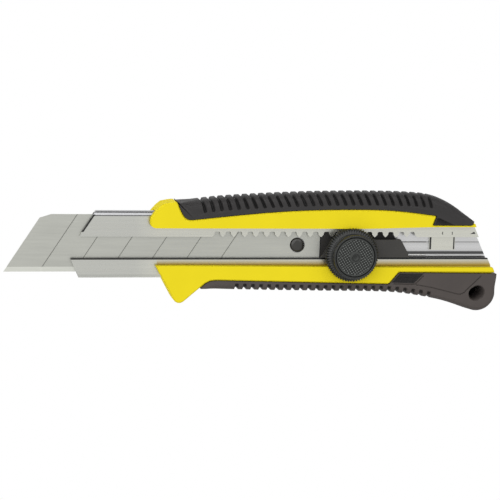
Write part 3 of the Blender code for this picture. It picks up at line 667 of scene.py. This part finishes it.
def waffle_pad(name, corners, material):
    """A textured inset: small pyramids in a skewed grid, just over the grip's face."""
    bottom_left, bottom_right, top_right, top_left = [Vector(corner) for corner in corners]
    columns = 2 * round((bottom_right - bottom_left).length / PAD_PITCH)
    rows = 2 * round((top_left - bottom_left).length / PAD_PITCH)
    verts, faces, hollow = [], [], []
    for row in range(rows + 1):
        for column in range(columns + 1):
            low = bottom_left.lerp(bottom_right, column / columns)
            high = top_left.lerp(top_right, column / columns)
            peak = row % 2 and column % 2
            verts.append((*low.lerp(high, row / rows), PAD_Z + (PAD_PEAK if peak else 0)))
            # Painted shade between the pyramids; the peaks keep the rubber's colour.
            hollow.append(0 if peak else PAD_SHADE)
    wide = columns + 1
    for row in range(rows):
        for column in range(columns):
            a = row * wide + column
            b, c, d = a + 1, a + 1 + wide, a + wide
            faces += [(a, b, c), (a, c, d)] if (row + column) % 2 == 0 else [(a, b, d), (b, c, d)]
    rim = list(range(wide)) + [row * wide + wide - 1 for row in range(1, rows + 1)]
    rim += [rows * wide + column for column in range(wide - 2, -1, -1)]
    rim += [row * wide for row in range(rows - 1, 0, -1)]
    start, count = len(verts), len(rim)
    verts += [(*verts[i][:2], THICKNESS - 0.25) for i in rim]
    for i in range(count):
        j = (i + 1) % count
        faces.append((rim[j], rim[i], start + i, start + j))
    faces.append(tuple(range(start, start + count))[::-1])
    made = mesh_object(name, verts, faces, 20, hollow + [PAD_SHADE] * count)
    paint(made, material)
    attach(made, "handle")


def pads():
    """The two dark textured insets, at the rear of the lower ribs and of the upper grip."""
    lower = below([(63.4, 1.65), (73.6, 2.05), (78.1, -2.35), (67.0, -2.45)])
    waffle_pad("lower_waffle_pad", lower, BLACK)
    upper = above([(82.2, -5.15), (91.0, -5.15), (84.4, -2.2), (83.2, -2.1)])
    waffle_pad("upper_waffle_pad", upper, BLACK)


# ---- Dial ----

RIDGES = 60
RIDGE_HEIGHT = 0.75
FLANGE_RADIUS = (DIAL_HIGH[0] - DIAL_LOW[0]) / 2
FLANGE_THICKNESS = 1.6
FACE_Z = DIAL_HIGH[2]
FACE_RADIUS = 9.7
RIM_ROUNDING = 0.5
CAP_RADIUS = 8.5
CAP_SEAT = 1.3  # from the face down to the cap's seat
INSERT_RADIUS = 4.4
HUB_RADIUS = 3.5
BORE_RADIUS = 2.8
WAFFLE_PITCH = 1.03
WAFFLE_TILT = math.radians(34)
WAFFLE_DEPTH = 0.32
DIMPLE_RADIUS = 2.5
PLAIN_SHADE = 0.75  # of the cap outside its waffle


def dial_ring(radius, z, ridge=0.0):
    """A ring about the dial's axis. The ridge is how far its teeth stand out."""
    made = []
    steps = RIDGES * 6
    for step in range(steps):
        turn = 2 * math.pi * step / steps
        reach = radius + ridge * (0.5 + 0.5 * math.cos(turn * RIDGES)) ** 0.7
        made.append((DIAL_X + reach * math.cos(turn), DIAL_Y + reach * math.sin(turn), z))
    return made


def lock_dial():
    """A knurled flange, a waisted glossy neck and a round head with a rolled rim, on a bored hub."""
    rim = FLANGE_RADIUS - RIDGE_HEIGHT
    low, high = FLANGE_Z, FLANGE_Z + FLANGE_THICKNESS
    hub = [(BORE_RADIUS, DIAL_LOW[2]), (HUB_RADIUS, DIAL_LOW[2]), (HUB_RADIUS, low)]
    flange = [(rim - 0.8, low, 0), (rim, low + 0.15, 0.3), (rim, low + 0.4, RIDGE_HEIGHT),
              (rim, high - 0.6, RIDGE_HEIGHT), (rim - 0.35, high - 0.1, RIDGE_HEIGHT),
              (rim - 1.2, high + 0.35, 0.6), (rim - 1.55, high + 0.4, 0.0)]
    neck_radius, neck_z = rim - 1.6, high + 0.4
    waist_radius, waist_z = FACE_RADIUS - 1.3, high + 1.7
    neck = []
    for step in range(1, 9):
        part = step / 8
        neck.append((neck_radius + (waist_radius - neck_radius) * ease(part) ** 0.8,
                     neck_z + (waist_z - neck_z) * part))
    head = [(waist_radius + 0.25, waist_z + 0.7), (FACE_RADIUS - 0.35, waist_z + 1.3),
            (FACE_RADIUS, waist_z + 1.8)]
    head += arc((FACE_RADIUS - RIM_ROUNDING, FACE_Z - RIM_ROUNDING), RIM_ROUNDING, 0, 180, 12)
    seat_radius, seat_z, insert_z = CAP_RADIUS + 0.15, FACE_Z - CAP_SEAT, low + 0.9
    inside = [(seat_radius, FACE_Z - 0.55), (seat_radius, seat_z), (INSERT_RADIUS, seat_z),
              (INSERT_RADIUS, insert_z), (BORE_RADIUS, insert_z)]
    profile = hub + flange + neck + head + inside
    made = stacked("dial_knurled", [dial_ring(*point) for point in profile], closed_tube=True, sharp=45)
    paint(made, DIAL)
    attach(made, "dial")
    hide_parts("lock_dial")


def relief(x, y):
    """The cap's height over its plain margin, and its shade, which is 0 on the waffle's tips, where the light
    face colour is a painted highlight, and darkest as painted shade in the pits and the dimple.
    """
    radius = math.hypot(x, y)
    if radius < DIMPLE_RADIUS:
        ring = math.exp(-((radius - 1.5) / 0.32) ** 2)
        dimple = ease((0.95 - radius) / 0.4)
        return WAFFLE_DEPTH * ring - 0.25 * dimple, PLAIN_SHADE + 0.12 * max(ring, dimple)
    across = x * math.cos(WAFFLE_TILT) + y * math.sin(WAFFLE_TILT)
    along = -x * math.sin(WAFFLE_TILT) + y * math.cos(WAFFLE_TILT)
    wave = [0.5 + 0.5 * math.cos(2 * math.pi * value / WAFFLE_PITCH) for value in (across, along)]
    inside = ease((CAP_RADIUS - 0.7 - radius) / 0.25) * ease((radius - DIMPLE_RADIUS) / 0.3)
    tip = ease((min(wave) - 0.35) / 0.4)
    return -WAFFLE_DEPTH * inside * (1 - tip), PLAIN_SHADE + (0.15 - tip) * inside


def dial_cap():
    """A disc with a waffle of small square tips, a plain margin and a ringed dimple in its middle."""
    top = FACE_Z - 0.45
    samples = 180
    step = 2 * CAP_RADIUS / samples
    mesh = bmesh.new()
    grid = {}
    for row in range(samples + 1):
        for column in range(samples + 1):
            x, y = -CAP_RADIUS + column * step, -CAP_RADIUS + row * step
            if math.hypot(x, y) <= CAP_RADIUS - step:
                place = Vector((DIAL_X + x, DIAL_Y + y, top + relief(x, y)[0]))
                grid[row, column] = mesh.verts.new(place * MM)
    for row, column in grid:
        corners = [(row, column), (row, column + 1), (row + 1, column + 1), (row + 1, column)]
        if all(corner in grid for corner in corners):
            mesh.faces.new([grid[corner] for corner in corners])
    for loose in [vert for vert in mesh.verts if not vert.link_faces]:
        mesh.verts.remove(loose)
    border = [edge for edge in mesh.edges if len(edge.link_faces) == 1]
    skirt = bmesh.ops.extrude_edge_only(mesh, edges=border)["geom"]
    middle = Vector((DIAL_X, DIAL_Y)) * MM
    for part in skirt:
        if isinstance(part, bmesh.types.BMVert):
            flat = middle + (part.co.xy - middle).normalized() * CAP_RADIUS * MM
            part.co = (flat.x, flat.y, (top - 0.6) * MM)
    rim = [part for part in skirt if isinstance(part, bmesh.types.BMEdge) and len(part.link_faces) == 1]
    bmesh.ops.contextual_create(mesh, geom=rim)
    bmesh.ops.recalc_face_normals(mesh, faces=mesh.faces)
    data = bpy.data.meshes.new("dial_face")
    mesh.to_mesh(data)
    mesh.free()
    # The waffle's painted shade and highlight, read by the face's material.
    depths = data.attributes.new("hollow", "FLOAT", "POINT")
    for vert, depth in zip(data.vertices, depths.data):
        depth.value = relief(vert.co.x / MM - DIAL_X, vert.co.y / MM - DIAL_Y)[1]
    data.shade_smooth()
    data.set_sharp_from_angle(angle=math.radians(60))
    made = bpy.data.objects.new("dial_face", data)
    bpy.context.scene.collection.objects.link(made)
    paint(made, FACE)
    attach(made, "dial")
    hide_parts("dial_cap")


# ---- Stud and sleeve details ----

def stud_dome():
    """The blade's stud: a shank under a low glossy dome."""
    low, high = edges("blade_stud")
    centre = [(a + b) / 2 for a, b in zip(low, high)][:2]
    radius = (high[0] - low[0]) / 2
    shank, tip, dome = 1.5, 0.05, 0.95
    profile = [(tip, low[2]), (shank, low[2]), (shank, low[2] + dome), (radius, low[2] + dome),
               (radius, high[2] - dome)]
    for turn in range(10, 90, 10):
        angle = math.radians(turn)
        profile.append((radius * math.cos(angle), high[2] - dome + dome * math.sin(angle)))
    profile.append((tip, high[2]))
    rings = [[(x, y, z) for x, y in circle(centre, ring_radius, 64)] for ring_radius, z in profile]
    made = stacked("stud_dome", rings, sharp=40)
    paint(made, STUD)
    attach(made, "slider")
    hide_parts("blade_stud")


def sleeve_shadow_strips():
    """Dark strips of painted shadow in two short slots over the rear boss and in a nick at the upper lip's
    rear end, and of painted shade along the boss's left and right edges.
    """

    def upright(x, width, low_y, high_y):
        return [(x, low_y), (x + width, low_y), (x + width, high_y), (x, high_y)]

    lip_z = SLEEVE_HIGH[2] + 0.03
    boss_z = SLEEVE_LOW[2] + 1.83
    marks = [(upright(x - 0.18, 0.36, 4.1, 5.4), lip_z) for x in (87.0, 91.5)]
    marks.append(([(99.8, 4.4), (102.3, 4.5), (101.7, 5.5)], lip_z))
    marks += [(upright(x, width, -2.9, 2.9), boss_z) for x, width in ((81.9, 0.8), (92.9, 0.6))]
    for number, (outline, high) in enumerate(marks):
        made = prism(f"sleeve_shadow_strip_{number}", outline, high - 0.1, high)
        paint(made, PAINTED_SHADOW)
        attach(made, "handle")


def back_beads():
    """Thin pressed beads along the back wall, behind the slider."""
    wall = SLEEVE_LOW[2] + 0.8
    for number, (y, width) in enumerate(((0.3, 0.5), (-5.6, 0.6))):
        section = [(y - width / 2, 0.0), (y - width / 5, 0.2), (y + width / 5, 0.2), (y + width / 2, 0.0)]
        section = [(a, wall + b) for a, b in section] + [(y, wall - 0.2)]
        ends = [[(x, a, b) for a, b in section] for x in (58.0, 80.6)]
        made = stacked(f"back_bead_{number}", ends, sharp=80)
        paint(made, STAINLESS)
        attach(made, "handle")


# ---- CAD pieces that keep their shape ----

def carried_over():
    """Materials for the CAD pieces that no finer piece stands in for, and for the stud."""
    looks = {
        "handle_frame": YELLOW, "blade_sleeve": STAINLESS, "blade": BLADE, "slider_block": SLIDER,
        "blade_stud": DARK, "carrier_plate": ZINC, "lock_bolt": ZINC, "lock_plate": ZINC,
        "thrust_washer": BRASS, "retaining_ring": ZINC, "dial_nut": BRASS,
        "sleeve_screw_front": ZINC, "sleeve_screw_rear": ZINC,
    }
    for node, material in looks.items():
        paint(frame["nodes"][node], material)


# ---- Light, floor and camera ----

def sky():
    """A studio that is bright overhead and dim near the horizon."""
    world = bpy.data.worlds.new("studio")
    bpy.context.scene.world = world
    world.use_nodes = True
    tree = world.node_tree
    place = tree.nodes.new("ShaderNodeTexCoord")
    split = tree.nodes.new("ShaderNodeSeparateXYZ")
    fade = tree.nodes.new("ShaderNodeMapRange")
    fade.interpolation_type = "SMOOTHSTEP"
    for key, value in (("From Min", 0.15), ("From Max", 0.85), ("To Min", 0.10), ("To Max", 0.92)):
        fade.inputs[key].default_value = value
    tree.links.new(place.outputs["Generated"], split.inputs[0])
    tree.links.new(split.outputs["Z"], fade.inputs["Value"])
    tree.links.new(fade.outputs["Result"], tree.nodes["Background"].inputs["Strength"])
    tree.nodes["Background"].inputs["Color"].default_value = (1, 1, 1, 1)


def area_light(name, place, aim, size, power):
    """A rectangle that shines from its place towards its aim, in metres and watts."""
    data = bpy.data.lights.new(name, "AREA")
    data.shape = "RECTANGLE"
    data.size, data.size_y = size
    data.energy = power
    made = bpy.data.objects.new(name, data)
    made.location = place
    made.rotation_euler = (Vector(aim) - Vector(place)).to_track_quat("-Z", "Y").to_euler()
    bpy.context.scene.collection.objects.link(made)


def floor():
    """A white sheet that shines evenly, and a dark disc on it, a painted shadow that is seen through the
    lanyard hole.
    """
    half = 3.0
    corners = [(-half, -half, 0), (half, -half, 0), (half, half, 0), (-half, half, 0)]
    mesh = bpy.data.meshes.new("floor")
    mesh.from_pydata(corners, [], [(0, 1, 2, 3)])
    made = bpy.data.objects.new("floor", mesh)
    made.location.z = -0.4 * MM
    bpy.context.scene.collection.objects.link(made)
    look = Nodes("floor_white")
    look.set(Base_Color=(0, 0, 0, 1), Roughness=1.0, Specular_IOR_Level=0.0, Emission_Color=(1, 1, 1, 1),
             Emission_Strength=1.0)
    paint(made, look.material)
    shade = Nodes("floor_shade")
    shade.set(Base_Color=(0.01, 0.01, 0.01, 1), Roughness=1.0, Specular_IOR_Level=0.0)
    disc = prism("floor_shade", circle((HOLE[0] + 0.8, HOLE[1] + 0.8), 4.6), -0.35, -0.3)
    paint(disc, shade.material)


def camera():
    """Looks at the dial's side from a little towards the blade's tip and the handle's back.

    It is rolled until its up direction has no X part.
    """
    yaw, tilt, distance = math.radians(11), math.radians(9), 0.79
    aim = Vector((0, -0.00306, 0.0076))
    forward = Vector((math.sin(yaw) * math.cos(tilt), -math.sin(tilt), -math.cos(yaw) * math.cos(tilt)))
    right = Vector((math.cos(yaw), 0, math.sin(yaw)))
    up = right.cross(forward)
    roll = math.atan2(up.x, right.x)
    right, up = math.cos(roll) * right + math.sin(roll) * up, -math.sin(roll) * right + math.cos(roll) * up
    data = bpy.data.cameras.new("camera")
    data.lens = 129.67
    data.sensor_width = 36
    data.clip_start = 0.01
    made = bpy.data.objects.new("camera", data)
    turn = Matrix((right, up, -forward)).transposed().to_4x4()
    made.matrix_world = Matrix.Translation(aim - forward * distance) @ turn
    bpy.context.scene.collection.objects.link(made)
    bpy.context.scene.camera = made


camera()
sky()
area_light("key", (-0.45, 0.40, 0.85), (0, 0, 0), (1.1, 0.8), 4.1)
area_light("fill", (0.35, 0.6, 0.75), (0, 0, 0), (0.8, 0.6), 1.5)
area_light("rim", (-0.5, 0.5, 0.16), (0.04, 0, 0.015), (0.1, 0.06), 0.25)
floor()
carried_over()
upper_grip()
lower_grip()
pads()
lock_dial()
dial_cap()
stud_dome()
sleeve_shadow_strips()
back_beads()
bpy.context.scene.view_settings.view_transform = "Standard"
